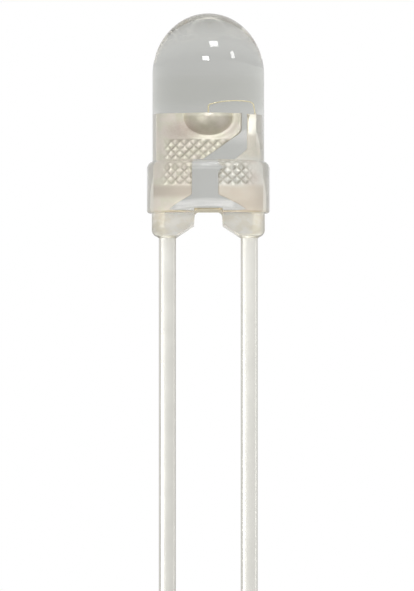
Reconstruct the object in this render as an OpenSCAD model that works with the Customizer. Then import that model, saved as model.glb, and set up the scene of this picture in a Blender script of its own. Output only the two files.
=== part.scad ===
/* [Lens body] */
// Diameter of the straight barrel of the cast lens
barrel_d = 3.48; // [3.4:0.02:3.6]
// Height of the barrel's straight wall above the flange
barrel_h = 2.7; // [2.4:0.05:3.2]
// Height of the rounded dome above the barrel
dome_h = 1.93; // [1.6:0.01:2.2]
// Diameter of the flange at the foot of the lens
flange_d = 3.82; // [3.74:0.02:4.2]
// Height of the flange with its rounded shoulder
flange_h = 1.6; // [1.4:0.05:1.8]
// Height of the rounded shoulder where the flange meets the barrel
shoulder_h = 0.24; // [0.1:0.02:0.4]

/* [Feet of the lens body] */
// Height of the two feet that hold the flange off the circuit board
foot_h = 0.7; // [0.5:0.05:0.85]
// Diameter of the circle that the feet stand inside
foot_circle_d = 3.52; // [3.4:0.02:3.6]
// Radius of the feet's rounded outer bottom edge
foot_round = 0.18; // [0.1:0.01:0.25]
// Width of the arch between the feet
arch_w = 0.88; // [0.7:0.02:0.96]
// Height of the arch's flat ceiling above the circuit board
arch_h = 0.78; // [0.72:0.02:0.9]
// Radius of the corners between the arch's ceiling and its sides
arch_round = 0.14; // [0.08:0.01:0.3]
// Height at which the arch's upright sides start to flare out
arch_flare_h = 0.34; // [0.2:0.02:0.4]
// Width of the arch where its flared mouth meets the circuit board
arch_mouth_w = 1.9; // [1.5:0.02:1.92]

/* [Leads] */
// Distance between the centres of the two leads
lead_pitch = 2.54; // [2.5:0.01:2.6]
// Width of a lead, seen from the front
lead_w = 0.54; // [0.45:0.01:0.58]
// Thickness of the sheet that the lead frame is stamped from
sheet_t = 0.5; // [0.4:0.01:0.6]
// Radius of the rounded long edges of a lead
lead_edge = 0.08; // [0.04:0.01:0.12]
// Length of the cathode lead below the flange
cathode_len = 25.4; // [20:0.1:28]
// What the anode lead has over the length of the cathode lead
anode_extra = 1.5; // [1:0.1:2.5]

/* [Lead frame inside the lens] */
// Height of the frame's lower edge above the underside of the flange
frame_base = 0.57; // [0.4:0.01:0.65]
// Height of the cathode's flat top above the underside of the flange
frame_top = 3.09; // [2.95:0.01:3.2]
// Height above the underside of the flange at which the frame's sloping lower edges meet the leads
heel_h = 0.05; // [0.03:0.01:0.2]
// Distance of the frame's outer side edges from the axis
frame_half_w = 1.38; // [1.34:0.01:1.46]
// Distance of the cathode's inner edge from the axis
cathode_inset = 0.35; // [0.25:0.01:0.4]
// Distance of the anode's inner edge from the axis
anode_inset = 0.21; // [0.1:0.01:0.3]
// Height above the frame's lower edge at which the cathode's inner edge slopes out to the cup
cathode_slope_z = 0.85; // [0.7:0.01:0.95]
// Height above the frame's lower edge at which the anode's inner edge slopes out to its post
anode_slope_z = 0.73; // [0.7:0.01:1]
// Radius of the anode's upper corner beside the gap
slope_corner_r = 0.2; // [0.1:0.01:0.25]
// Radius of the inner corner at the foot of the post
post_corner_r = 0.25; // [0.1:0.01:0.3]
// Width of the plate that is left beside the cup, towards the anode
cup_margin = 0.16; // [0.1:0.01:0.18]
// Width of the anode's post at its top
post_w = 0.31; // [0.26:0.01:0.34]
// Gap between the cathode's plate and the anode's post
post_gap = 0.14; // [0.12:0.01:0.2]
// How far the top of the anode's post lies below the cup's rim
post_drop = 0.02; // [0:0.01:0.15]
// Radius of the corners of the stamped outline
stamp_round = 0.09; // [0.04:0.01:0.12]
// Radius of the cathode's wide corner below the cup
cup_corner_r = 0.3; // [0.15:0.01:0.4]

/* [Reflector cup] */
// Diameter of the cup's rim, outside
cup_d = 1.16; // [1.12:0.01:1.24]
// Height of the slightly conical band round the rim
cup_band = 0.12; // [0.06:0.01:0.2]
// How far the band leans in from its foot to the rim
cup_draft = 0.02; // [0.01:0.005:0.03]
// Depth of the bulge that the punched cup makes below its band
cup_bulge = 0.6; // [0.52:0.01:0.7]
// Width of the flat land round the mouth of the bowl
cup_land = 0.07; // [0.06:0.01:0.1]
// Depth of the bowl
bowl_depth = 0.44; // [0.36:0.01:0.5]
// Diameter of the bowl's flat floor
bowl_floor_d = 0.56; // [0.54:0.01:0.64]

/* [Die and bond] */
// Side of the square light-emitting die
die_side = 0.28; // [0.22:0.01:0.3]
// Height of the die
die_h = 0.18; // [0.12:0.01:0.22]
// Diameter of the gold pad on top of the die
pad_d = 0.11; // [0.1:0.005:0.13]
// Height of the gold pad
pad_h = 0.006; // [0.004:0.001:0.01]
// Thickness of the silver adhesive under the die
glue_t = 0.02; // [0.01:0.005:0.04]
// Height to which the adhesive climbs round the die
glue_fillet_h = 0.07; // [0.05:0.005:0.1]
// Width of the adhesive at the floor, beyond the corners of the die
glue_spread = 0.04; // [0.03:0.005:0.05]
// How far the adhesive leans in from the floor to its top
glue_lean = 0.02; // [0.01:0.005:0.025]
// Diameter of the gold bond wire
wire_d = 0.03; // [0.02:0.002:0.04]
// Diameter of the ball that bonds the wire to the die
ball_d = 0.08; // [0.06:0.005:0.09]
// Height of the flattened ball
ball_h = 0.035; // [0.025:0.001:0.045]
// Diameter of the pressed stitch that bonds the wire to the anode's post
stitch_d = 0.12; // [0.08:0.01:0.16]
// Height of the stitch
stitch_h = 0.02; // [0.012:0.002:0.026]
// Radius of the sharp bend above the ball
kink_r = 0.09; // [0.06:0.01:0.12]
// Slope of the wire, in degrees, where it leaves the sharp bend
rise_angle = 22; // [15:1:35]
// Slope of the wire, in degrees, at the far end of its long arc
dip_angle = 12; // [8:1:20]
// Radius of the bend where the wire turns down to the post
drop_r = 0.12; // [0.08:0.01:0.16]
// Slope of the wire, in degrees, where it comes down to the post
fall_angle = 80; // [70:1:85]
// Height of the wire's straight leg above the post
leg_h = 0.27; // [0.15:0.01:0.4]

/* [Hidden] */
$fn = 64;

// Levels above the circuit board, which the feet stand on
flange_z = foot_h;
feet_root_z = flange_z + flange_h / 2;
barrel_z = flange_z + flange_h;
dome_z = barrel_z + barrel_h;
rim_z = flange_z + frame_top;
post_z = rim_z - post_drop;
base_z = flange_z + frame_base;
heel_z = flange_z + heel_h;
floor_z = rim_z - bowl_depth;
die_z = floor_z + glue_t;
pad_z = die_z + die_h;
ball_z = pad_z + pad_h;
cathode_tip_z = flange_z - cathode_len;
anode_tip_z = cathode_tip_z - anode_extra;

// Places along the line of the leads
lead_x = lead_pitch / 2;
cup_r = cup_d / 2;
plate_x = cup_r + cup_margin;
post_x = plate_x + post_gap;
stitch_x = post_x + post_w / 2;

// The curve of the dome and the corners of the stamping, in steps
dome_steps = 28;
shoulder_steps = 6;
cup_steps = 14;
ball_steps = 6;
kink_steps = 5;
loop_steps = 12;
drop_steps = 5;
wire_sides = 10;
corner_steps = 5;

// The long arc of the wire spans what the two bends and the straight leg leave of the way to the post
wire_r = wire_d / 2;
kink_run = kink_r * (1 - sin(rise_angle));
drop_run = drop_r * (sin(fall_angle) - sin(dip_angle));
leg_run = leg_h / tan(fall_angle);
loop_r = (stitch_x - kink_run - drop_run - leg_run) / (sin(rise_angle) + sin(dip_angle));

// Levels of the wire's bends, from the post back to the ball
landing_z = post_z + wire_r;
drop_z = landing_z + leg_h - drop_r * cos(fall_angle);
loop_z = drop_z + (drop_r - loop_r) * cos(dip_angle);
kink_z = loop_z + (loop_r - kink_r) * cos(rise_angle);
glue_r = die_side / sqrt(2) + glue_spread;

// What a cutting shape has beyond the faces that it cuts through
reach = 1;

function unit(v) = v / norm(v);

// A corner p = [x, z, radius] between its neighbours a and b, as an arc that touches both sides
function arc_at(a, p, b) =
    let (
        at = [p[0], p[1]],
        u = unit([a[0], a[1]] - at),
        v = unit([b[0], b[1]] - at),
        half = acos(u * v) / 2,
        centre = at + unit(u + v) * p[2] / sin(half),
        from = at + u * p[2] / tan(half) - centre,
        to = at + v * p[2] / tan(half) - centre
    )
    [for (i = [0:corner_steps])
        let (share = i / corner_steps)
        centre + p[2] * unit(from * (1 - share) + to * share)];

// A closed outline of corners, each with its own radius, or sharp where the radius is 0
function rounded(corners) =
    let (n = len(corners))
    [for (i = [0:n - 1]) each corners[i][2] > 0
        ? arc_at(corners[(i + n - 1) % n], corners[i], corners[(i + 1) % n])
        : [[corners[i][0], corners[i][1]]]];

// A quarter of an ellipse about centre, from angle 0 to 90 degrees
function quarter(centre, across, up, steps) =
    [for (i = [0:steps]) centre + [across * cos(90 * i / steps), up * sin(90 * i / steps)]];

// A front-view outline in X and Z, given a thickness about the plane of the leads
module stamped(outline, thickness) {
    rotate([90, 0, 0])
        linear_extrude(height = thickness, center = true)
            polygon(outline);
}

// One straight lead: a square wire with rounded edges, from its tip up to a level inside the frame
module lead_bar(x, tip_z, top_z) {
    inner_w = lead_w - 2 * lead_edge;
    inner_t = sheet_t - 2 * lead_edge;
    translate([x, 0, tip_z])
        linear_extrude(height = top_z - tip_z)
            union() {
                square([lead_w, inner_t], center = true);
                square([inner_w, sheet_t], center = true);
                for (sx = [-1, 1], sy = [-1, 1])
                    translate([sx * inner_w / 2, sy * inner_t / 2])
                        circle(r = lead_edge, $fn = 24);
            }
}

// Flange, barrel and dome, turned from one profile
module lens_shape() {
    dome = quarter([0, dome_z], barrel_d / 2, dome_h, dome_steps);
    shoulder = quarter(
        [barrel_d / 2, barrel_z - shoulder_h], (flange_d - barrel_d) / 2, shoulder_h, shoulder_steps
    );
    rotate_extrude()
        polygon(concat([[0, flange_z], [flange_d / 2, flange_z]], shoulder, dome));
}

// The two feet: a low round plinth, cut by the arch that runs through from front to back
module feet() {
    r = foot_circle_d / 2;
    edge = [
        for (p = quarter([0, 0], foot_round, foot_round, shoulder_steps))
            [r - foot_round + p[1], foot_round - p[0]]
    ];
    rotate_extrude()
        polygon(concat([[0, feet_root_z], [0, 0]], edge, [[r, feet_root_z]]));
}

// The space of the arch: a flat ceiling and upright sides over a flared mouth
module arch_space() {
    outline = rounded([
        [-arch_w / 2, arch_h, arch_round],
        [-arch_w / 2, arch_flare_h, arch_round],
        [-arch_mouth_w / 2, 0, 0],
        [-arch_mouth_w / 2, -reach, 0],
        [arch_mouth_w / 2, -reach, 0],
        [arch_mouth_w / 2, 0, 0],
        [arch_w / 2, arch_flare_h, arch_round],
        [arch_w / 2, arch_h, arch_round]
    ]);
    stamped(outline, flange_d + reach);
}

// The clear cast body, closed face to face round everything that is potted in it
module lens_body() {
    color([0.86, 0.87, 0.85, 0.45])
        difference() {
            union() {
                lens_shape();
                feet();
            }
            arch_space();
            cathode_lead();
            anode_lead();
            led_die();
            die_attach();
            bond_wire();
        }
}

// The outside of the cup: the band round its rim, and the bulge pushed out below it
module cup_outside() {
    bulge = [for (p = quarter([0, 0], cup_r, cup_bulge, cup_steps)) [p[0], rim_z - cup_band - p[1]]];
    rotate_extrude()
        polygon(concat([[0, rim_z], [cup_r - cup_draft, rim_z]], bulge));
}

// The polished bowl, a cone with a flat floor
module bowl_space() {
    mouth_r = cup_r - cup_draft - cup_land;
    slope = (mouth_r - bowl_floor_d / 2) / bowl_depth;
    translate([0, 0, floor_z])
        cylinder(h = bowl_depth + reach, r1 = bowl_floor_d / 2, r2 = mouth_r + slope * reach);
}

// The stamped cathode: its lead, the wide plate above it, and the reflector cup that carries the die
module cathode_lead() {
    slope_z = base_z + cathode_slope_z;
    plate = rounded([
        [-frame_half_w, rim_z, stamp_round],
        [-frame_half_w, base_z + lead_w, stamp_round],
        [-lead_x - lead_w / 2, base_z, 0],
        [-lead_x - lead_w / 2, heel_z, 0],
        [-lead_x + lead_w / 2, heel_z, 0],
        [-cathode_inset, base_z, stamp_round],
        [-cathode_inset, slope_z, stamp_round],
        [plate_x, slope_z + plate_x + cathode_inset, cup_corner_r],
        [plate_x, rim_z, 0]
    ]);
    color([0.82, 0.80, 0.76])
        difference() {
            union() {
                stamped(plate, sheet_t);
                lead_bar(-lead_x, cathode_tip_z, base_z + lead_edge);
                cup_outside();
            }
            bowl_space();
        }
}

// The stamped anode: its lead, the plate above it, and the narrow post that the wire is bonded to
module anode_lead() {
    slope_z = base_z + anode_slope_z;
    shoulder_z = slope_z + post_x - anode_inset;
    plate = rounded([
        [anode_inset, base_z, stamp_round],
        [lead_x - lead_w / 2, heel_z, 0],
        [lead_x + lead_w / 2, heel_z, 0],
        [lead_x + lead_w / 2, base_z, 0],
        [frame_half_w, base_z + lead_w, stamp_round],
        [frame_half_w, shoulder_z, stamp_round],
        [post_x + post_w, shoulder_z + lead_w, stamp_round],
        [post_x + post_w, post_z, 0],
        [post_x, post_z, 0],
        [post_x, shoulder_z, post_corner_r],
        [anode_inset, slope_z, slope_corner_r]
    ]);
    color([0.82, 0.80, 0.76])
        union() {
            stamped(plate, sheet_t);
            lead_bar(lead_x, anode_tip_z, base_z + lead_edge);
        }
}

// The die, a sawn square of crystal with its round gold pad
module led_die() {
    color([0.45, 0.42, 0.30])
        union() {
            translate([-die_side / 2, -die_side / 2, die_z])
                cube([die_side, die_side, die_h]);
            translate([0, 0, pad_z - glue_t])
                cylinder(h = pad_h + glue_t, d = pad_d);
        }
}

// The silver adhesive under the die, squeezed out into a low fillet round it
module die_attach() {
    color([0.66, 0.66, 0.66])
        difference() {
            translate([0, 0, floor_z])
                cylinder(h = glue_fillet_h, r1 = glue_r, r2 = glue_r - glue_lean);
            led_die();
        }
}

// Places on an arc of the wire about [x, z], each [x, z, heading], with headings in degrees above +X
function bend(x, z, radius, heading_from, heading_to, steps) =
    [for (i = [0:steps])
        let (heading = heading_from + (heading_to - heading_from) * i / steps)
        [x - radius * sin(heading), z + radius * cos(heading), heading]];

// A round wire along such places, with a ring of points square to the heading at each
module round_wire(path, radius) {
    rings = len(path);
    points = [
        for (place = path, side = [0:wire_sides - 1])
            let (angle = 360 * side / wire_sides)
            [
                place[0] - radius * cos(angle) * sin(place[2]),
                radius * sin(angle),
                place[1] + radius * cos(angle) * cos(place[2])
            ]
    ];
    walls = [
        for (ring = [0:rings - 2], side = [0:wire_sides - 1])
            let (next = (side + 1) % wire_sides, here = ring * wire_sides, on = here + wire_sides)
            [here + side, here + next, on + next, on + side]
    ];
    start = [for (side = [wire_sides - 1:-1:0]) side];
    end = [for (side = [0:wire_sides - 1]) (rings - 1) * wire_sides + side];
    polyhedron(points, concat(walls, [start, end]));
}

// The gold wire: ball, upright neck, sharp bend, long arc, bend, straight leg and stitch
module bond_wire() {
    loop_x = kink_r + (loop_r - kink_r) * sin(rise_angle);
    drop_x = loop_x + (loop_r - drop_r) * sin(dip_angle);
    neck = [[0, ball_z + ball_h / 2, 90]];
    kink = bend(kink_r, kink_z, kink_r, 90, rise_angle, kink_steps);
    loop = bend(loop_x, loop_z, loop_r, rise_angle, -dip_angle, loop_steps);
    drop = bend(drop_x, drop_z, drop_r, -dip_angle, -fall_angle, drop_steps);
    after_kink = [for (i = [1:loop_steps]) loop[i]];
    after_loop = [for (i = [1:drop_steps]) drop[i]];
    leg = [[stitch_x, landing_z, -fall_angle]];
    color([0.93, 0.76, 0.36])
        union() {
            rotate_extrude()
                polygon(concat([[0, ball_z]], quarter([0, ball_z], ball_d / 2, ball_h, ball_steps)));
            round_wire(concat(neck, kink, after_kink, after_loop, leg), wire_r);
            translate([stitch_x, 0, post_z])
                cylinder(h = stitch_h, d = stitch_d);
        }
}

lens_body();
cathode_lead();
anode_lead();
led_die();
die_attach();
bond_wire();
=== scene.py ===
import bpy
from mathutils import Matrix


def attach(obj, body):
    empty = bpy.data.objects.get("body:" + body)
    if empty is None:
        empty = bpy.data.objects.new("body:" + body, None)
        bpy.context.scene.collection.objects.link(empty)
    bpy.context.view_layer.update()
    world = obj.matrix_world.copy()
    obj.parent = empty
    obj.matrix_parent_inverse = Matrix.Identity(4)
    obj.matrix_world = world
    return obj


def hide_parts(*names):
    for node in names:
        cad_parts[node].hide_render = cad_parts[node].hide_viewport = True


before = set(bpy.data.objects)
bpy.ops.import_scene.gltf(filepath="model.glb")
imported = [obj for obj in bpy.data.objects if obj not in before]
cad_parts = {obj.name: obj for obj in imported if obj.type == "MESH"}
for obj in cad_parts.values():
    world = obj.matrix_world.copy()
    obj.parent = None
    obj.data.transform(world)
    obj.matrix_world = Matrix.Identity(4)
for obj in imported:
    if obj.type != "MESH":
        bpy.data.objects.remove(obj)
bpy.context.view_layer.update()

import math

import bmesh
import bpy
import mathutils
import numpy as np

# Cathode lead
# One stamping of thin steel sheet: the straight lead, the wide plate above it, and the reflector cup
# that is punched up into the plate's top. It is plated bright, and knurled so that the epoxy grips it.
MM = 0.001
MERGE_WITHIN = 2e-5
SHARP_DEGREES = 38
LEAD_X = 1.27
LEAD_W = 0.54
SHEET_T = 0.5
LEAD_EDGE = 0.08
LEAD_CROWN = 0.045
LEAD_COLUMNS = 14
LEAD_STEP = 0.6
TIP_ROUND = 0.05
STAMP_EDGE = 0.035
PLATE_STEP = 0.016
BREAK_TAPER = 0.09
LEAN_ENDS = (0.9, 1.1)
CATHODE_TIP_Z = -24.7
BASE_Z = 1.27
HEEL_Z = 0.75
HEEL_R = 0.04
ROOT_Z = HEEL_Z - HEEL_R
ELBOW_R = 0.3
RIM_Z = 3.79
PLATE_HALF_W = 1.38
CATHODE_INSET = 0.35
CATHODE_SLOPE_Z = 2.12
CORNER_R = 0.09
CUP_CORNER_R = 0.3
CUP_R = 0.58
CUP_MARGIN = 0.16
CUP_BAND = 0.12
CUP_DRAFT = 0.02
CUP_BULGE = 0.6
BOWL_MOUTH_R = 0.49
BOWL_FLOOR_R = 0.28
BOWL_FLOOR_Z = 3.35
BOWL_SKIN = 0.03
KNURL_ACROSS = 0.207
KNURL_UP = 0.265
KNURL_DEPTH = 0.04
KNURL_FOOT = (1.55, 1.62)
CATHODE_KNURL_TOP = (2.90, 3.0)
DRAW_R = 0.76
DRAW_DEPTH = 0.045


def wall(grid, closed=True):
    """Quads between neighbouring rows of a grid of points. Row r, column c joins to the next column and to
    row r + 1, and the last column joins to the first where the rows are closed rings."""
    rows, columns = grid.shape[:2]
    index = np.arange(rows * columns).reshape(rows, columns)
    right = np.roll(index, -1, axis=1)
    quads = np.stack([index[:-1], right[:-1], right[1:], index[1:]], axis=-1)
    return (quads if closed else quads[:, :-1]).reshape(-1, 4)


def closed_shell(rings):
    """A shell round a stack of closed rings, each run anticlockwise seen from above: the walls between the
    rings, and one flat face across the lowest and the highest."""
    rows, columns = rings.shape[:2]
    last = (rows - 1) * columns
    floor = list(range(columns))[::-1]
    roof = list(range(last, last + columns))
    return rings.reshape(-1, 3), wall(rings).tolist() + [floor, roof]


def turned(profile, columns):
    """A profile of (radius, height) turned round the Z axis: x = radius cos t, y = radius sin t."""
    turn = np.linspace(0, 2 * math.pi, columns, endpoint=False)
    radius, height = profile[:, 0:1], profile[:, 1:2]
    return np.stack([radius * np.cos(turn), radius * np.sin(turn), height + 0 * turn], axis=-1)


def arc(centre, across, up, start, end, steps):
    """Points on an ellipse about centre, at even angles from start to end in degrees."""
    angle = np.radians(np.linspace(start, end, steps))
    return np.stack([centre[0] + across * np.cos(angle), centre[1] + up * np.sin(angle)], axis=-1)


def rounded_path(corners, steps=7):
    """A path through corners (x, z, radius), each corner turned into an arc that touches both of its
    sides. Its points are the centre plus the radius along spokes that go evenly from one side's normal to
    the other's, (1 - s) a + s b, made one unit long."""
    points = [np.array(corners[0][:2])]
    for before, (x, z, radius), after in zip(corners, corners[1:], corners[2:]):
        at = np.array([x, z])
        one = np.array(before[:2]) - at
        two = np.array(after[:2]) - at
        one = one / np.linalg.norm(one)
        two = two / np.linalg.norm(two)
        half_angle = math.acos(float(one @ two)) / 2
        middle = at + (one + two) / np.linalg.norm(one + two) * radius / math.sin(half_angle)
        start = at + one * radius / math.tan(half_angle) - middle
        end = at + two * radius / math.tan(half_angle) - middle
        share = np.linspace(0, 1, steps)[:, None]
        spoke = start * (1 - share) + end * share
        points.extend(middle + radius * spoke / np.linalg.norm(spoke, axis=1, keepdims=True))
    points.append(np.array(corners[-1][:2]))
    return np.array(points)


def knurl(x, z):
    """Depth of the pressed grip pattern, from 0 on the crests to 1 in the grooves: two sets of straight
    grooves cross at the slope of KNURL_UP over KNURL_ACROSS, and the deeper of the two is taken."""
    one = x / KNURL_ACROSS + z / KNURL_UP
    two = x / KNURL_ACROSS - z / KNURL_UP
    return np.maximum(np.abs(one % 1 - 0.5), np.abs(two % 1 - 0.5)) * 2


def soft_step(value, low, high):
    """0 below low, 1 above high, and the smooth cubic 3 t t - 2 t t t between them."""
    t = np.clip((value - low) / (high - low), 0, 1)
    return t * t * (3 - 2 * t)


def stamped_rings(heights, left, right, edge, across, press):
    """Rings of a flat bar whose sides are at x = left(z) and x = right(z), with its thickness along Y and
    its long edges rounded to a radius: x = side + edge cos t, y = +-(SHEET_T / 2 - edge) + edge sin t. The
    punched sides near the axis lean in towards the back by BREAK_TAPER. press(x, z) sinks the front and
    the back face by that depth."""
    corner = np.radians(np.linspace(0, 90, 5))
    along = np.linspace(0, 1, across)
    turn = np.concatenate([
        0 * along - math.pi / 2, corner - math.pi / 2, corner, 0 * along + math.pi / 2,
        corner + math.pi / 2, corner + math.pi
    ])
    share = np.concatenate([along, 0 * corner + 1, 0 * corner + 1, along[::-1], 0 * corner, 0 * corner])
    side = np.concatenate([0 * along - 1, 0 * corner - 1, 0 * corner + 1, 0 * along + 1,
                           0 * corner + 1, 0 * corner - 1])
    z = heights[:, None] + 0 * share
    y = side * (SHEET_T / 2 - edge) + edge * np.sin(turn) + 0 * z
    lean = BREAK_TAPER * (y / SHEET_T + 0.5)
    low, high = left[:, None], right[:, None]
    low = low + lean * (1 - soft_step(np.abs(low), *LEAN_ENDS))
    high = high - lean * (1 - soft_step(np.abs(high), *LEAN_ENDS))
    x = low + edge + share * (high - low - 2 * edge) + edge * np.cos(turn)
    on_face = np.abs(np.cos(turn)) < 0.01
    y = y - side * press(x, z) * on_face
    return np.stack([x, y, z], axis=-1)


def piece(name, shells, material, node):
    """One mesh object from shells in millimetres, which stands for a CAD node. Coinciding points are
    merged, and edges bent by more than SHARP_DEGREES stay crisp."""
    points, faces, start = [], [], 0
    for shell_points, shell_faces in shells:
        points.append(np.asarray(shell_points))
        faces.extend([[corner + start for corner in face] for face in shell_faces])
        start += len(points[-1])
    mesh = bpy.data.meshes.new(name)
    mesh.from_pydata((np.concatenate(points) * MM).tolist(), [], faces)
    work = bmesh.new()
    work.from_mesh(mesh)
    bmesh.ops.remove_doubles(work, verts=work.verts, dist=MERGE_WITHIN * MM)
    work.to_mesh(mesh)
    work.free()
    mesh.validate()
    mesh.polygons.foreach_set("use_smooth", np.ones(len(mesh.polygons), dtype=bool))
    mesh.set_sharp_from_angle(angle=math.radians(SHARP_DEGREES))
    mesh.materials.append(material)
    made = bpy.data.objects.new(name, mesh)
    bpy.context.scene.collection.objects.link(made)
    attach(made, "root")
    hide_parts(node)


class Shade:
    """A shader socket with arithmetic: an expression on values adds its Math nodes to the material."""

    def __init__(self, socket):
        self.socket = socket

    def node(self, kind, settings=None, values=None, output=0):
        """Any node: its settings are set first, then the values or links of its sockets."""
        tree = self.socket.id_data
        made = tree.nodes.new(kind)
        for name, value in (settings or {}).items():
            setattr(made, name, value)
        for name, value in (values or {}).items():
            if isinstance(value, Shade):
                tree.links.new(value.socket, made.inputs[name])
            else:
                made.inputs[name].default_value = value
        return Shade(made.outputs[output])

    def math(self, operation, other=0.0):
        """A Math node on this value and another."""
        return self.node("ShaderNodeMath", {"operation": operation}, {0: self, 1: other})

    def __add__(self, other):
        return self.math("ADD", other)

    def __sub__(self, other):
        return self.math("SUBTRACT", other)

    def __rsub__(self, other):
        return self.node("ShaderNodeMath", {"operation": "SUBTRACT"}, {0: other, 1: self})

    def __mul__(self, other):
        return self.math("MULTIPLY", other)

    __radd__ = __add__
    __rmul__ = __mul__

    def __abs__(self):
        return self.math("ABSOLUTE")

    def most(self, other):
        """The larger of this value and another."""
        return self.math("MAXIMUM", other)

    def clamp(self):
        """This value held between 0 and 1."""
        return self.node("ShaderNodeClamp", None, {"Value": self})

    def step(self, low, high):
        """0 below low and 1 above high, smoothly."""
        return self.node(
            "ShaderNodeMapRange", {"interpolation_type": "SMOOTHSTEP"},
            {"Value": self, "From Min": low, "From Max": high}
        )

    def blend(self, first, second):
        """A colour that goes from first to second as this value goes from 0 to 1."""
        return self.node("ShaderNodeMix", {"data_type": "RGBA"}, {0: self, 6: first, 7: second}, 2)

    def stretched(self, scale):
        """These coordinates times a scale for each axis."""
        return self.node("ShaderNodeMapping", None, {"Vector": self, "Scale": scale})

    def noise(self, scale, detail=2.0):
        """Noise from 0 to 1 on these coordinates."""
        return self.node("ShaderNodeTexNoise", None, {"Vector": self, "Scale": scale, "Detail": detail})

    def axis(self, name):
        """One of these coordinates: X, Y or Z."""
        return self.node("ShaderNodeSeparateXYZ", None, {"Vector": self}, name)

    def distance(self, point):
        """How far these coordinates are from a point."""
        return self.node("ShaderNodeVectorMath", {"operation": "DISTANCE"}, {0: self, 1: point}, "Value")

    def radius(self):
        """How far these coordinates are from the Z axis."""
        return self.stretched((1.0, 1.0, 0.0)).distance((0.0, 0.0, 0.0))

    def ray(self, kind):
        """1 for rays of a kind, such as Camera or Shadow, and 0 for others."""
        return self.node("ShaderNodeLightPath", output=f"Is {kind} Ray")


def new_material(name):
    """A material with no nodes but its output, and its object coordinates in millimetres."""
    material = bpy.data.materials.new(name)
    material.use_nodes = True
    tree = material.node_tree
    tree.nodes.clear()
    coordinates = Shade(tree.nodes.new("ShaderNodeTexCoord").outputs["Object"])
    return material, coordinates.stretched((1 / MM, 1 / MM, 1 / MM))


def surface(material, shader):
    """The material, with a shader linked to its output."""
    tree = material.node_tree
    output = tree.nodes.new("ShaderNodeOutputMaterial")
    tree.links.new(shader.socket, output.inputs["Surface"])
    return material


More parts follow.
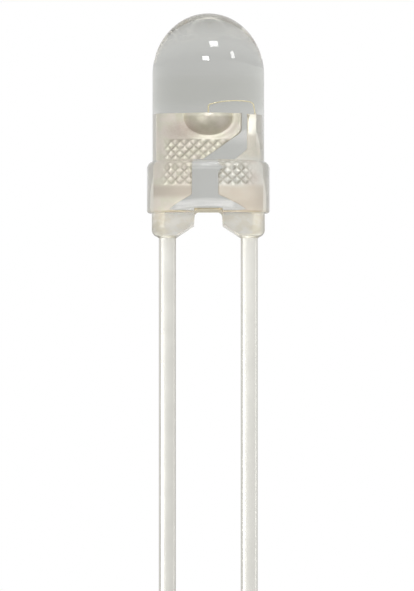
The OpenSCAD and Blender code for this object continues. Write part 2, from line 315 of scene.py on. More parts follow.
def plated_metal(name):
    """Bright plate over stamped steel. The bare leads are silvery, with fine draw lines, and the anode's is
    painted a little lighter, as if lit more. What is potted is warmer and mottled, with painted shade in the
    grooves of the grip pattern, a painted dark reflection left of and below the cup, a rosy patch low on the
    anode's plate, a brown stain along the foot of the plates and painted shade under the cup. The coined
    slant of the post is mirror bright, and the outer edges and the back are painted paler, as if lit. The
    anode's side starts at the gap between the pieces."""
    material, place = new_material(name)
    across, depth, height = place.axis("X"), place.axis("Y"), place.axis("Z")
    drawn = place.stretched((26.0, 26.0, 1.1)).noise(1.0, 4.0)
    cloud = place.noise(1.6, 3.0)
    patch = place.noise(3.4, 3.0).step(0.38, 0.62)
    patchiness = place.noise(5.0, 2.0).step(0.35, 0.65)
    grain = place.noise(22.0, 3.0).step(0.3, 0.7)
    potted = height.step(0.0, 1.0)
    under_gap = across.step(0.0, 0.05) * (1 - (height - across).step(2.05, 2.2))
    anode = under_gap.most(across.step(0.78, 0.84))

    # Painted shade: the grooves of the grip pattern are made darker, unevenly.
    one = (across * (1 / KNURL_ACROSS) + height * (1 / KNURL_UP)).math("FRACT") - 0.5
    two = (across * (1 / KNURL_ACROSS) - height * (1 / KNURL_UP)).math("FRACT") - 0.5
    groove = (abs(one).most(abs(two)) * 2).step(0.45, 0.95)
    top = (1 - anode) * (1 - height.step(*CATHODE_KNURL_TOP)) + anode * (1 - height.step(2.14, 2.22))
    sides = 1 - abs(across).step(0.8, 1.15)
    groove_shade = height.step(*KNURL_FOOT) * top * sides * groove * (0.55 + 0.45 * patchiness)

    tan = patch.blend((0.86, 0.82, 0.70, 1), (0.92, 0.84, 0.77, 1))
    silver = patch.blend((0.84, 0.83, 0.80, 1), (0.90, 0.88, 0.85, 1))
    greyed = patch.blend((0.72, 0.69, 0.61, 1), (0.78, 0.72, 0.64, 1))
    upper = height.step(1.2, 1.6) * (1 - height.step(2.25, 2.55))
    # A painted dark reflection left of and below the cup, and a rosy patch low on the anode's plate.
    dark_reflection = 1 - place.stretched((0.55, 0.0, 0.8)).distance((-0.34, 0, 2.58)).step(0.05, 0.36)
    rosy = 1 - place.stretched((1.0, 0.0, 0.7)).distance((1.05, 0, 1.2)).step(0.05, 0.4)
    dark_reflection_and_rosy_patch = (0.75 * dark_reflection).most(0.5 * rosy * (0.6 + 0.4 * patchiness))
    plate = dark_reflection_and_rosy_patch.blend(anode.blend(tan, upper.blend(greyed, silver)), (0.60, 0.48, 0.43, 1))
    coined = across.step(0.8, 0.9) * height.step(2.95, 3.35) * (1 - 0.7 * height.step(3.58, 3.72))
    warm = (0.22 * grain).most(coined).blend(plate, (1.0, 0.97, 0.90, 1))

    foot = (height + 0.4 * anode).step(1.1, 1.3) * (1 - height.step(1.45, 1.65))
    stained = (foot * (1 - anode * (0.25 - 0.25 * patch))).blend(warm, (0.70, 0.62, 0.54, 1))
    squash = CUP_R / CUP_BULGE
    from_cup = place.stretched((1.0, 0.0, squash)).distance((0, 0, (RIM_Z - CUP_BAND) * squash))
    under_cup = (1 - from_cup.step(CUP_R - 0.08, CUP_R)) * (1 - height.step(3.66, 3.74))
    shade = under_cup * (0.5 + 0.5 * place.noise(3.0, 3.0).step(0.3, 0.7))
    shaded = (0.55 * shade).blend(stained, (0.42, 0.37, 0.26, 1))
    pressed = (0.7 * groove_shade).blend(shaded, (0.34, 0.30, 0.22, 1))

    bare = cloud.blend((0.63, 0.62, 0.575, 1), (0.72, 0.71, 0.665, 1))
    # Painted light: the anode's bare lead is a little lighter, as if lit more than the cathode's.
    bare = (0.4 * anode).blend(bare, (0.80, 0.79, 0.74, 1))
    # Painted light: the outer edges of the potted plates and the whole back are paler, as if lit, and less
    # metallic.
    outer = abs(across).step(1.366, 1.378).most(across.step(1.16, 1.185) * height.step(2.6, 3.1))
    painted_back_light = potted * depth.step(0.1, 0.16)
    front_colour = potted.blend(bare, outer.blend(pressed, (0.92, 0.88, 0.82, 1)))
    bump = place.node("ShaderNodeBump", None, {"Strength": 0.15, "Distance": 0.00001, "Height": drawn})
    return surface(material, place.node("ShaderNodeBsdfPrincipled", None, {
        "Base Color": (0.6 * painted_back_light).blend(front_colour, (1.0, 0.99, 0.95, 1)),
        "Metallic": 1.0 - 0.5 * potted * (1 - coined) - 0.4 * (potted * outer).most(0.9 * painted_back_light),
        "Roughness": 0.26 + 0.12 * drawn + 0.06 * cloud + 0.08 * potted - 0.13 * coined,
        "Normal": bump,
    }))


def cathode_sides():
    """The stamped outline of the cathode as two paths of (x, z) that only go up, left side and right."""
    lead_left, lead_right = -LEAD_X - LEAD_W / 2, -LEAD_X + LEAD_W / 2
    plate_x = CUP_R + CUP_MARGIN
    left = rounded_path([
        (lead_left, CATHODE_TIP_Z, 0), (lead_left, BASE_Z, ELBOW_R),
        (-PLATE_HALF_W, BASE_Z + LEAD_W, CORNER_R), (-PLATE_HALF_W, RIM_Z, 0)
    ])
    right = rounded_path([
        (lead_right, CATHODE_TIP_Z, 0), (lead_right, HEEL_Z, HEEL_R), (-CATHODE_INSET, BASE_Z, CORNER_R),
        (-CATHODE_INSET, CATHODE_SLOPE_Z, CORNER_R),
        (plate_x, CATHODE_SLOPE_Z + CATHODE_INSET + plate_x, CUP_CORNER_R), (plate_x, RIM_Z, 0)
    ])
    return left, right


def bar_between(left, right, low, high, edge, across, step, press, tip=0.0):
    """The shell of a stamped bar between two side paths, from z = low to z = high, with a ring at least
    every step and one at each bend of the paths. A tip adds two rings below, each drawn in towards the
    middle, to round the end by about that radius."""
    levels = np.concatenate([np.arange(low, high, step), left[:, 1], right[:, 1], [low, high]])
    levels = np.unique(np.round(levels[(levels >= low) & (levels <= high)], 5))
    x_left = np.interp(levels, left[:, 1], left[:, 0])
    x_right = np.interp(levels, right[:, 1], right[:, 0])
    rings = stamped_rings(levels, x_left, x_right, edge, across, press)
    if tip:
        end = rings[0:1]
        middle = end.mean(axis=1, keepdims=True)
        shares = np.array([0.72, 0.9])[:, None, None]
        drawn_in = middle + (end - middle) * shares
        drawn_in[:, :, 2] = low - tip * np.array([1.0, 0.6])[:, None]
        rings = np.concatenate([drawn_in, rings])
    return closed_shell(rings)


def lead_crown(x, z):
    """The rolled-over faces of a lead: sunk towards both long edges by the square of the distance from the
    lead's middle."""
    return LEAD_CROWN * ((np.abs(x) - LEAD_X) / (LEAD_W / 2)) ** 2


def lead_bar(left, right, tip_z):
    """The shell of a straight lead, from its tip up to the root of its plate."""
    return bar_between(
        left, right, tip_z + TIP_ROUND, ROOT_Z, LEAD_EDGE, LEAD_COLUMNS, LEAD_STEP, lead_crown, tip=TIP_ROUND
    )


def plate_bar(left, right, low, high, across, press):
    """The shell of a stretch of plate, fine enough for its pressed pattern."""
    return bar_between(left, right, low, high, STAMP_EDGE, across, PLATE_STEP, press)


def cup_press(x, z):
    """The sheet is drawn in round the cup, most at the cup and not at all DRAW_R from its middle."""
    away = np.hypot(x, z - RIM_Z + CUP_BAND)
    return DRAW_DEPTH * (1 - soft_step(away, CUP_R, DRAW_R))


def cathode_press(x, z):
    """Grip pattern on the cathode's plate, from below the cup to just above the plate's lower edge."""
    zone = soft_step(z, *KNURL_FOOT) * (1 - soft_step(z, *CATHODE_KNURL_TOP))
    zone = zone * soft_step(x, -1.2, -0.8)
    return KNURL_DEPTH * zone * knurl(x, z) + cup_press(x, z)


def cup_profile():
    """The cup's section as (radius, height): up the punched bulge, over the rounded rim, down the cone."""
    round_r = 0.018
    floor_r = 0.05
    bulge = arc((0, RIM_Z - CUP_BAND), CUP_R, CUP_BULGE, -90, 0, 34)
    outer_rim = arc((CUP_R - CUP_DRAFT - round_r, RIM_Z - round_r), round_r, round_r, 0, 90, 5)
    inner_rim = arc((BOWL_MOUTH_R + round_r, RIM_Z - round_r), round_r, round_r, 90, 150, 4)
    floor = arc((BOWL_FLOOR_R - floor_r * 0.4, BOWL_FLOOR_Z + floor_r), floor_r, floor_r, -30, -90, 6)
    return np.concatenate([bulge, outer_rim, inner_rim, floor, [[0, BOWL_FLOOR_Z]]])


def turned_shell(profile, columns):
    """A closed shell turned from a profile that starts and ends on the axis."""
    rings = turned(profile, columns)
    return rings.reshape(-1, 3), wall(rings).tolist()


lead_metal = plated_metal("plated_lead_frame")
cathode_left, cathode_right = cathode_sides()
cathode_bar = lead_bar(cathode_left, cathode_right, CATHODE_TIP_Z)
bowl_foot_z = BOWL_FLOOR_Z - BOWL_SKIN
bowl_wall = np.array([[BOWL_FLOOR_R + BOWL_SKIN, bowl_foot_z], [BOWL_MOUTH_R + BOWL_SKIN, RIM_Z]])
cathode_plate = plate_bar(cathode_left, cathode_right, ROOT_Z, bowl_foot_z, 150, cathode_press)
cathode_shoulder = plate_bar(cathode_left, bowl_wall * [-1, 1], bowl_foot_z, RIM_Z, 90, cup_press)
cathode_margin = plate_bar(bowl_wall, cathode_right, bowl_foot_z, RIM_Z, 40, cup_press)
cup = turned_shell(cup_profile(), 144)
piece("cathode_frame", [cathode_bar, cathode_plate, cathode_shoulder, cathode_margin, cup],
      lead_metal, "cathode_lead")

# Anode lead
# The other half of the stamping, cut free of the cathode once the epoxy is cast. Its plate narrows into
# the post that the gold wire is stitched to, and its lead is left longer, to tell the two apart.
ANODE_TIP_Z = CATHODE_TIP_Z - 1.5
ANODE_INSET = 0.21
ANODE_SLOPE_Z = 2.0
SLOPE_CORNER_R = 0.2
POST_CORNER_R = 0.25
POST_X = 0.88
POST_W = 0.31
POST_Z = RIM_Z - 0.02
COIN_Z = 3.16
COIN_BLEND = 0.14
COIN_DEPTH = 0.14
COIN_TURN = 0.035
ANODE_KNURL_TOP = (2.10, 2.2)
SHOULDER_Z = ANODE_SLOPE_Z + POST_X - ANODE_INSET


def anode_sides():
    """The stamped outline of the anode as two paths of (x, z) that only go up, left side and right."""
    lead_left, lead_right = LEAD_X - LEAD_W / 2, LEAD_X + LEAD_W / 2
    post_right = POST_X + POST_W
    left = rounded_path([
        (lead_left, ANODE_TIP_Z, 0), (lead_left, HEEL_Z, HEEL_R), (ANODE_INSET, BASE_Z, CORNER_R),
        (ANODE_INSET, ANODE_SLOPE_Z, SLOPE_CORNER_R), (POST_X, SHOULDER_Z, POST_CORNER_R), (POST_X, POST_Z, 0)
    ])
    right = rounded_path([
        (lead_right, ANODE_TIP_Z, 0), (lead_right, BASE_Z, ELBOW_R),
        (PLATE_HALF_W, BASE_Z + LEAD_W, CORNER_R), (PLATE_HALF_W, SHOULDER_Z, CORNER_R),
        (post_right, SHOULDER_Z + LEAD_W, CORNER_R), (post_right, POST_Z, 0)
    ])
    return left, right


def anode_press(x, z):
    """Grip pattern on the anode's plate, below its slope, and the coined slant at the top of its post. The
    slant starts with the parabola p p / 4 b over 2 b of height, and goes on straight. Its face is turned a
    little, by a rise across the post."""
    zone = soft_step(z, *KNURL_FOOT) * (1 - soft_step(z, *ANODE_KNURL_TOP))
    zone = zone * (1 - soft_step(x, 0.75, 1.1))
    past = np.clip(z - COIN_Z + COIN_BLEND, 0, 2 * COIN_BLEND)
    run = past ** 2 / (4 * COIN_BLEND) + np.clip(z - COIN_Z - COIN_BLEND, 0, None)
    slant = COIN_DEPTH * run / (POST_Z - COIN_Z)
    turn = COIN_TURN * soft_step(z, COIN_Z - 0.1, COIN_Z + 0.15) * np.clip((x - POST_X) / POST_W, 0, 1)
    return KNURL_DEPTH * zone * knurl(x, z) + slant + turn


anode_left, anode_right = anode_sides()
anode_bar = lead_bar(anode_left, anode_right, ANODE_TIP_Z)
anode_plate = plate_bar(anode_left, anode_right, ROOT_Z, POST_Z, 120, anode_press)
piece("anode_frame", [anode_bar, anode_plate], lead_metal, "anode_lead")

# Die and its adhesive
# A sawn square of crystal with a round gold pad stands in the cup on a spot of silver-filled resin,
# which is squeezed out into a low fillet all round it.
DIE_HALF = 0.14
DIE_Z = BOWL_FLOOR_Z + 0.02
DIE_H = 0.18
PAD_R = 0.055
PAD_H = 0.006
GLUE_R = 0.238
GLUE_H = 0.07


def square_rings(steps, columns=48):
    """Rings of a square with rounded corners, one for each (half side, height): a superellipse
    |x|^p + |y|^p = s^p, run round by its angle."""
    power = 14
    turn = np.linspace(0, 2 * math.pi, columns, endpoint=False) + math.pi / columns
    reach = (np.abs(np.cos(turn)) ** power + np.abs(np.sin(turn)) ** power) ** (-1 / power)
    half, height = steps[:, 0:1], steps[:, 1:2]
    return np.stack([half * reach * np.cos(turn), half * reach * np.sin(turn), height + 0 * turn], axis=-1)


def die_material():
    """Pale sawn crystal with a polished gold pad on top."""
    material, place = new_material("crystal_with_gold_pad")
    top = place.axis("Z").step(DIE_Z + DIE_H - 0.001, DIE_Z + DIE_H)
    pad = top * (1 - place.radius().step(PAD_R, PAD_R + 0.004))
    grain = place.noise(30.0, 3.0)
    crystal = grain.blend((0.30, 0.28, 0.17, 1), (0.44, 0.41, 0.26, 1))
    bump = place.node("ShaderNodeBump", None, {"Strength": 0.3, "Distance": 0.000005, "Height": grain})
    return surface(material, place.node("ShaderNodeBsdfPrincipled", None, {
        "Base Color": pad.blend(crystal, (0.95, 0.72, 0.32, 1)),
        "Metallic": pad,
        "Roughness": 0.22 + 0.2 * grain,
        "Normal": bump,
    }))


def adhesive_material():
    """Silver flakes in resin: dull, pale and grainy."""
    material, place = new_material("silver_filled_resin")
    flake = place.noise(60.0, 4.0)
    bump = place.node("ShaderNodeBump", None, {"Strength": 0.6, "Distance": 0.00001, "Height": flake})
    return surface(material, place.node("ShaderNodeBsdfPrincipled", None, {
        "Base Color": flake.blend((0.46, 0.46, 0.44, 1), (0.74, 0.74, 0.72, 1)),
        "Metallic": 0.6,
        "Roughness": 0.4 + 0.3 * flake,
        "Normal": bump,
    }))


die_top = DIE_Z + DIE_H
die_steps = np.array([
    [DIE_HALF - 0.004, DIE_Z], [DIE_HALF, DIE_Z + 0.004], [DIE_HALF, die_top - 0.06],
    [DIE_HALF - 0.008, die_top - 0.055], [DIE_HALF - 0.008, die_top - 0.012],
    [DIE_HALF - 0.018, die_top - 0.006], [DIE_HALF - 0.02, die_top]
])
pad_profile = np.array([
    [0, die_top - 0.003], [PAD_R, die_top - 0.003], [PAD_R, die_top + PAD_H - 0.002],
    [PAD_R - 0.003, die_top + PAD_H], [0, die_top + PAD_H]
])
piece("die", [closed_shell(square_rings(die_steps)), turned_shell(pad_profile, 32)],
      die_material(), "led_die")
glue_rise = np.linspace(0, 1, 12)
glue_profile = np.stack([
    GLUE_R - (GLUE_R - DIE_HALF) * glue_rise, BOWL_FLOOR_Z + GLUE_H * glue_rise ** 2.2
], axis=-1)
glue_profile = np.concatenate([[[GLUE_R, BOWL_FLOOR_Z - 0.004]], glue_profile])
piece("adhesive", [closed_shell(turned(glue_profile, 48))], adhesive_material(),
      "die_attach")

# Bond wire
# Drawn gold, thinner than a hair. It is welded to the die's pad as a squashed ball, rises, bends over
# sharply, and comes down in one long arc to the post, where it is pressed into a flat stitch.
WIRE_R = 0.015
BALL_R = 0.04
BALL_H = 0.035
BALL_EDGE = 0.012
STITCH_R = 0.06
STITCH_H = 0.02
KINK_R = 0.09
DROP_R = 0.12
LEG_H = 0.27
RISE = math.radians(22)
DIP = math.radians(12)
FALL = math.radians(80)
STITCH_X = POST_X + POST_W / 2
BALL_Z = die_top + PAD_H


def bend(x, z, radius, start, end, steps):
    """Places (x, z, heading) on a bend about (x, z), where a heading h is met at x - R sin h, z + R cos h."""
    heading = np.linspace(start, end, steps)
    return np.stack([x - radius * np.sin(heading), z + radius * np.cos(heading), heading], axis=-1)


def wire_path():
    """Places (x, z, heading) of the wire: the upright neck, the sharp bend, the long arc, the bend down
    and the straight leg. The long arc spans what the others leave of the way from the ball to the post."""
    short_run = KINK_R * (1 - math.sin(RISE)) + DROP_R * (math.sin(FALL) - math.sin(DIP))
    leg_run = LEG_H / math.tan(FALL)
    loop_r = (STITCH_X - short_run - leg_run) / (math.sin(RISE) + math.sin(DIP))
    drop_z = POST_Z + WIRE_R + LEG_H - DROP_R * math.cos(FALL)
    loop_z = drop_z + (DROP_R - loop_r) * math.cos(DIP)
    kink_z = loop_z + (loop_r - KINK_R) * math.cos(RISE)
    loop_x = KINK_R + (loop_r - KINK_R) * math.sin(RISE)
    drop_x = loop_x + (loop_r - DROP_R) * math.sin(DIP)
    neck = np.linspace(BALL_Z + 0.01, kink_z, 12, endpoint=False)[:, None]
    return np.concatenate([
        neck * [0, 1, 0] + [0, 0, math.pi / 2],
        bend(KINK_R, kink_z, KINK_R, math.pi / 2, RISE, 12),
        bend(loop_x, loop_z, loop_r, RISE, -DIP, 40)[1:],
        bend(drop_x, drop_z, DROP_R, -DIP, -FALL, 14)[1:],
        [[STITCH_X, POST_Z + WIRE_R, -FALL]],
    ])


def round_bar(path, radius, columns=20):
    """A round bar along places (x, z, heading): each ring is the place plus the radius times
    (-sin h cos t, sin t, cos h cos t), square to the heading h."""
    turn = -np.linspace(0, 2 * math.pi, columns, endpoint=False)
    x, z, heading = path[:, 0:1], path[:, 1:2], path[:, 2:3]
    rings = np.stack([
        x - radius * np.cos(turn) * np.sin(heading), radius * np.sin(turn) + 0 * x,
        z + radius * np.cos(turn) * np.cos(heading)
    ], axis=-1)
    return closed_shell(rings)


def gold_material():
    """Bright drawn gold, faintly uneven."""
    material, place = new_material("drawn_gold")
    grain = place.noise(45.0, 2.0)
    return surface(material, place.node("ShaderNodeBsdfPrincipled", None, {
        "Base Color": grain.blend((0.97, 0.84, 0.52, 1), (1.0, 0.92, 0.66, 1)),
        "Metallic": 1.0,
        "Roughness": 0.22 + 0.14 * grain,
    }))


ball_profile = np.concatenate([
    [[0, BALL_Z]], arc((BALL_R - BALL_EDGE, BALL_Z + BALL_EDGE), BALL_EDGE, BALL_EDGE, -90, 0, 6),
    arc((0, BALL_Z + BALL_EDGE), BALL_R, BALL_H - BALL_EDGE, 8, 90, 12)
])
stitch_profile = np.concatenate([
    [[0, POST_Z - 0.002], [STITCH_R, POST_Z - 0.002]], arc((0, POST_Z), STITCH_R, STITCH_H, 10, 90, 10)
])
stitch_points, stitch_faces = turned_shell(stitch_profile, 32)
stitch_points = stitch_points + np.array([STITCH_X, 0, 0])
piece("gold_bond_wire",
      [turned_shell(ball_profile, 32), round_bar(wire_path(), WIRE_R), (stitch_points, stitch_faces)],
      gold_material(), "bond_wire")

# Epoxy body
# Clear resin cast round the finished frame in a polished mould: dome, barrel, flange and two feet in
# one piece. The open end of the mould leaves the arch between the feet, and the resin wets the leads.
FLANGE_R = 1.91
FLANGE_Z = 0.70
FLANGE_H = 1.60
BARREL_R = 1.74
BARREL_Z = FLANGE_Z + FLANGE_H
BARREL_H = 2.70
DOME_Z = BARREL_Z + BARREL_H
DOME_H = 1.93
SHOULDER_H = 0.24
FOOT_R = 1.76
FOOT_ROUND = 0.18
ARCH_HALF_W = 0.44
ARCH_H = 0.78
ARCH_ROUND = 0.14
ARCH_FLARE_H = 0.34
ARCH_MOUTH_HALF_W = 0.95
EDGE_ROUND = 0.09
WETTING_H = 0.07
WETTING_W = 0.07
CREASE = 0.04


def arch_height(x):
    """Height of the arch's ceiling over x: flat, with a quarter circle down to each upright side, over a
    straight flare. A sliding cosine window smooths the kinks."""
    fine = np.linspace(-2, 2, 4001)
    away = np.abs(fine)
    corner = np.clip(away - ARCH_HALF_W + ARCH_ROUND, 0, ARCH_ROUND)
    ceiling = ARCH_H - ARCH_ROUND + np.sqrt(ARCH_ROUND ** 2 - corner ** 2)
    flare = ARCH_FLARE_H * np.clip((ARCH_MOUTH_HALF_W - away) / (ARCH_MOUTH_HALF_W - ARCH_HALF_W), 0, None)
    raw = np.where(away < ARCH_HALF_W, ceiling, flare)
    window = np.hanning(41)
    return np.interp(x, fine, np.convolve(raw, window / window.sum(), mode="same"))


def underside(x, y):
    """Height of the body's underside: the arch's roof or the rounded outer edge of the feet, whichever is
    higher, with their crease blended by (c - d)^2 / 4 c where they differ by d < c, less the fillets
    W exp(-r / w) by which the resin wets each lead."""
    radius = np.hypot(x, y)
    into_edge = np.clip(radius - (FOOT_R - FOOT_ROUND), 0, FOOT_ROUND)
    edge = FOOT_ROUND - np.sqrt(FOOT_ROUND ** 2 - into_edge ** 2)
    gap_x = np.clip(np.abs(np.abs(x) - LEAD_X) - LEAD_W / 2, 0, None)
    gap_y = np.clip(np.abs(y) - SHEET_T / 2, 0, None)
    wet = WETTING_H * np.exp(-(np.hypot(gap_x, gap_y) / WETTING_W))
    arch = arch_height(x)
    higher = np.maximum(arch, edge) + np.clip(CREASE - np.abs(arch - edge), 0, None) ** 2 / (4 * CREASE)
    return higher - wet - CREASE / 4 * (higher < CREASE)


def spaced_columns(count):
    """Places in x across the feet, close together where the arch is steep and towards both sides."""
    fine = np.linspace(-FOOT_R, FOOT_R, 6001)
    steep = np.gradient(arch_height(fine), fine)
    closeness = np.sqrt(1 + steep ** 2) + 1 / np.sqrt(1.002 - (fine / FOOT_R) ** 2)
    run = np.cumsum(closeness)
    places = np.interp(np.linspace(run[0], run[-1], count), run, fine)
    places[0], places[-1] = -FOOT_R, FOOT_R
    return places


def body_shell():
    """The whole outer skin as two grids that share the rim of the feet. The outer grid has a column at
    each azimuth t and a row for each step of the profile, and the underside is a grid in x and y."""
    across = spaced_columns(200)
    half_y = np.sqrt(np.clip(FOOT_R ** 2 - across ** 2, 0, None))
    ring_x = np.concatenate([across[::-1], across[1:-1]])
    ring_y = np.concatenate([half_y[::-1], -half_y[1:-1]])
    cos_t, sin_t = ring_x / FOOT_R, ring_y / FOOT_R
    rim = underside(ring_x, ring_y)

    def row(radius, height):
        return np.stack([radius * cos_t, radius * sin_t, height + 0 * cos_t], axis=-1)

    rows = []
    under_ring = np.maximum(FLANGE_Z, arch_height(FOOT_R * cos_t))
    for share in np.linspace(0, 1, 7):
        rows.append(row(FOOT_R, rim + share * (np.maximum(under_ring, rim) - rim)))
    for radius in np.linspace(FOOT_R, FLANGE_R - EDGE_ROUND, 4)[1:]:
        rows.append(row(radius, np.maximum(FLANGE_Z, arch_height(radius * cos_t))))
    low_edge = np.maximum(FLANGE_Z, arch_height(FLANGE_R * cos_t))
    for out, up in arc((0, 0), EDGE_ROUND, EDGE_ROUND, -90, 0, 6)[1:]:
        rows.append(row(FLANGE_R - EDGE_ROUND + out, low_edge + EDGE_ROUND + up))
    shoulder_z = BARREL_Z - SHOULDER_H
    for share in np.linspace(0, 1, 8)[1:-1]:
        rows.append(row(FLANGE_R, low_edge + EDGE_ROUND + share * (shoulder_z - low_edge - EDGE_ROUND)))
    shoulder = arc((BARREL_R, shoulder_z), FLANGE_R - BARREL_R, SHOULDER_H, 0, 84, 16)
    barrel = [[BARREL_R, z] for z in np.linspace(BARREL_Z + 0.02, DOME_Z, 14)]
    dome = arc((0, DOME_Z), BARREL_R, DOME_H, 0, 90, 64)[1:]
    for radius, height in np.concatenate([shoulder, barrel, dome]):
        rows.append(row(radius, height))
    outer = np.stack(rows)
    slide = np.sin(np.linspace(-math.pi / 2, math.pi / 2, 150))
    grid_x = across[:, None] + 0 * slide
    grid_y = half_y[:, None] * slide
    under = np.stack([grid_x, grid_y, underside(grid_x, grid_y)], axis=-1)
    under = np.swapaxes(under, 0, 1)[::-1]
    return [
        (outer.reshape(-1, 3), wall(outer).tolist()),
        (under.reshape(-1, 3), wall(under, closed=False).tolist()),
    ]


def epoxy_material():
    """Clear resin with a polished skin, a little darker grey in a band of the barrel above the frame, and
    milky and dull on the feet, where the mould was open. The arch's roof and the flange's lower edge are tan;
    on the rough roof the tan is partly dirt and flash and partly a painted dark reflection. Pale light is
    painted into the skin's colour: in a brushed, rougher band over the arch, a glint on the shoulder, a glow
    between the cathode's slope and the post, and strips beside the frame. The slope is seen through the skin
    along x = 1.43 z - 3.547. Lamps shine through on to the frame."""
    material, place = new_material("clear_resin")
    across, depth, height = place.axis("X"), place.axis("Y"), place.axis("Z")
    aside = abs(across)
    front = 1 - depth.step(-0.1, 0.1)
    cloud = place.noise(0.9, 2.0)
    brushed = place.stretched((1.2, 1.2, 14.0)).noise(1.0, 3.0).step(0.35, 0.6)
    ripple = place.stretched((3.0, 3.0, 1.4)).noise(1.0, 2.0)
    wrinkle = place.stretched((1.6, 1.6, 3.4)).noise(1.5, 3.0)
    dull = 1 - height.step(0.55, 0.95)

    # Tan on the arch's roof, partly dirt and flash and partly a painted dark reflection, and a brownish line
    # on the flange's lower edge.
    roof = height.step(0.60, 0.66) * (1 - height.step(0.81, 0.84)) * (1 - aside.step(0.42, 0.46))
    low_edge = height.step(0.68, 0.70) * (1 - height.step(0.74, 0.78)) * place.radius().step(1.8, 1.85)
    tan = (roof * (0.75 + 0.25 * height.step(0.74, 0.78))).most(low_edge * (0.45 + 0.4 * brushed))

    # Painted light: a brushed band over the arch and a glint on the shoulder, and on the front only, a glow
    # past the cathode's slope and strips beside the frame.
    bowed = height + 0.1 * across * across
    arch_band_light = bowed.step(0.86, 0.91) * (1 - bowed.step(1.08, 1.16))
    arch_band_light = arch_band_light * across.step(-1.1, -0.9) * (1 - across.step(0.68, 0.84)) * (0.6 + 0.4 * brushed)
    shoulder = height.step(2.02, 2.1) * (1 - height.step(2.28, 2.34))
    glint = height.step(2.08, 2.13) * (1 - height.step(2.17, 2.23)) * (1 - aside.step(0.5, 0.95))
    past_slope = (across - 1.43 * height + 3.547).step(0.0, 0.06)
    glow = past_slope * (1 - across.step(1.19, 1.23)) * height.step(2.68, 3.14)
    glow = glow * (1 - 0.75 * height.step(3.14, 3.3)) * (1 - height.step(3.7, 3.8))
    beside_frame_light = aside.step(1.48, 1.56) * height.step(2.3, 2.36) * (1 - height.step(3.7, 4.0))
    light = arch_band_light.most(0.6 * glint).most(glow.most(0.32 * beside_frame_light) * front)

    # Darker grey in a band of the barrel above the frame.
    barrel_darker_band = height.step(3.8, 4.3) * (1 - height.step(4.75, 5.2))
    clear = barrel_darker_band.blend(cloud.blend((0.58, 0.59, 0.56, 1), (0.63, 0.63, 0.61, 1)),
                        cloud.blend((0.53, 0.54, 0.505, 1), (0.58, 0.58, 0.55, 1)))
    milky = wrinkle.step(0.4, 0.62).blend((0.84, 0.79, 0.67, 1), (0.98, 0.96, 0.90, 1))
    lit = light.blend(dull.blend(clear, milky), (0.95, 0.95, 0.92, 1))
    uneven = ripple + 2.5 * dull * wrinkle
    bump = place.node("ShaderNodeBump", None, {"Strength": 0.12, "Distance": 0.00002, "Height": uneven})
    glass = place.node("ShaderNodeBsdfPrincipled", None, {
        "Base Color": tan.blend(lit, (0.36, 0.29, 0.15, 1)),
        "Roughness": 0.02 + 0.03 * cloud + 0.3 * dull + 0.1 * arch_band_light + 0.4 * roof + 0.15 * shoulder,
        "IOR": 1.53,
        "Transmission Weight": 1.0,
        "Normal": bump,
    })
    through = place.node("ShaderNodeBsdfTransparent", None, {"Color": (0.78, 0.78, 0.76, 1)})
    return surface(
        material, place.node("ShaderNodeMixShader", None, {0: place.ray("Shadow"), 1: glass, 2: through})
    )


piece("epoxy_body", body_shell(), epoxy_material(), "lens_body")

# Studio
# A pale floor under the longer lead, in a white room whose far side is a little darker. Three soft lamps
# in front make the three white windows on the dome, and a low strip lights the feet from the left.
FLOOR_Z = ANODE_TIP_Z
FLOOR_HALF = 0.3
LAMP_DISTANCE = 0.12
STRIP_DISTANCE = 0.08
LAMP_AIM_Z = 5.5


def floor_material():
    """Matt pale paper, which fades to plain white a few centimetres away from the leads."""
    material, place = new_material("pale_paper")
    fibre = place.noise(0.6, 3.0)
    paper = place.node("ShaderNodeBsdfPrincipled", None, {
        "Base Color": fibre.blend((0.86, 0.86, 0.85, 1), (0.90, 0.90, 0.89, 1)),
        "Roughness": 0.9,
    })
    by_camera = place.ray("Camera")
    away = place.radius()
    glow = 0.86 - 0.09 * away.step(40.0, 260.0)
    white = place.node("ShaderNodeEmission", None, {
        "Color": (1, 1, 1, 1), "Strength": glow + by_camera * (1 - glow)
    })
    seen = (by_camera + place.ray("Glossy") + place.ray("Transmission")).clamp()
    faded = seen * away.step(12.0, 60.0)
    return surface(material, place.node("ShaderNodeMixShader", None, {0: faded, 1: paper, 2: white}))


def white_room():
    """The room all round. The camera sees it plain white, and reflections and refractions see its shades.
    What it sheds on the part is about half as bright, and stronger from the far side."""
    world = bpy.data.worlds.new("studio")
    world.use_nodes = True
    tree = world.node_tree
    tree.nodes.clear()
    towards = Shade(tree.nodes.new("ShaderNodeTexCoord").outputs["Generated"])
    right, far, up = towards.axis("X"), towards.axis("Y"), towards.axis("Z")
    to_side = right * right
    shades = 0.915 - 0.14 * far + 0.04 * up - 0.05 * right + 0.08 * to_side * to_side
    by_camera, by_gloss, by_glass = towards.ray("Camera"), towards.ray("Glossy"), towards.ray("Transmission")
    shed = 0.54 * (1 + 0.9 * far.clamp()) * (1 - (by_camera + by_gloss + by_glass).clamp()) * shades
    shown = by_camera + (by_gloss + by_glass).clamp() * shades
    background = towards.node("ShaderNodeBackground", None, {"Color": (1, 1, 1, 1), "Strength": shed + shown})
    output = tree.nodes.new("ShaderNodeOutputWorld")
    tree.links.new(background.socket, output.inputs["Surface"])
    return world


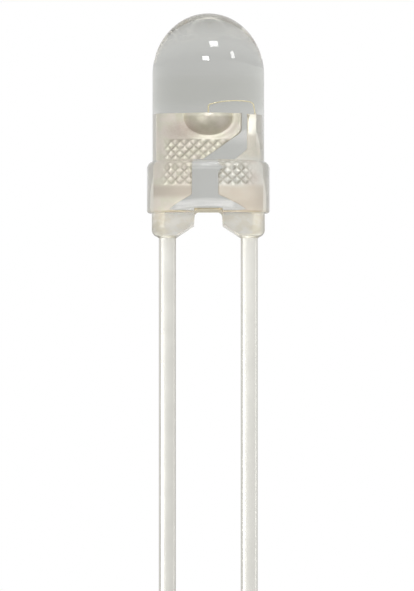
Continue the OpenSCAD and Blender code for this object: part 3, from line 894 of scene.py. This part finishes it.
def lamp(name, towards, width, height, radiance, distance=LAMP_DISTANCE):
    """A rectangular lamp that faces the lens from a direction, with its radiance in units of white."""
    data = bpy.data.lights.new(name, "AREA")
    data.shape = "RECTANGLE"
    data.size = width
    data.size_y = height
    data.energy = radiance * math.pi * width * height
    made = bpy.data.objects.new(name, data)
    aim = mathutils.Vector(towards).normalized()
    made.location = mathutils.Vector((0, 0, LAMP_AIM_Z * MM)) + aim * distance
    made.rotation_mode = "QUATERNION"
    made.rotation_quaternion = aim.to_track_quat("Z", "Y")
    bpy.context.scene.collection.objects.link(made)


floor_mesh = bpy.data.meshes.new("floor")
floor_corners = [
    (x * FLOOR_HALF, y * FLOOR_HALF, FLOOR_Z * MM) for x, y in [(-1, -1), (1, -1), (1, 1), (-1, 1)]
]
floor_mesh.from_pydata(floor_corners, [], [[0, 1, 2, 3]])
floor_mesh.materials.append(floor_material())
floor = bpy.data.objects.new("floor", floor_mesh)
bpy.context.scene.collection.objects.link(floor)
bpy.context.scene.world = white_room()
lamp("high_window", (0.175, -0.58, 0.785), 0.032, 0.023, 12)
lamp("front_window", (-0.083, -0.895, 0.44), 0.026, 0.014, 24)
lamp("side_window", (0.73, -0.47, 0.49), 0.015, 0.023, 9)
lamp("low_left_strip", (-0.52, -0.82, -0.25), 0.024, 0.012, 9, STRIP_DISTANCE)

# Camera
# Level with the middle of the picture and square to the line of the leads, from far enough back that
# nothing narrows with distance.
PX_PER_MM = 32.1
PHOTO_W = 414
PHOTO_H = 591
AXIS_PX = 208.3
UNDERSIDE_PX = 213.5
LENS_MM = 180
SENSOR_MM = 36
camera_data = bpy.data.cameras.new("camera")
camera_data.lens = LENS_MM
camera_data.sensor_width = SENSOR_MM
camera_data.clip_start = 0.001
camera_data.clip_end = 10
camera = bpy.data.objects.new("camera", camera_data)
camera_distance = PHOTO_H / PX_PER_MM * LENS_MM / SENSOR_MM
camera_x = (PHOTO_W / 2 - AXIS_PX) / PX_PER_MM
camera_z = FLANGE_Z + (UNDERSIDE_PX - PHOTO_H / 2) / PX_PER_MM
camera.location = (camera_x * MM, -camera_distance * MM, camera_z * MM)
camera.rotation_euler = (math.radians(90), 0, 0)
bpy.context.scene.collection.objects.link(camera)
bpy.context.scene.camera = camera
bpy.context.scene.view_settings.view_transform = "Standard"
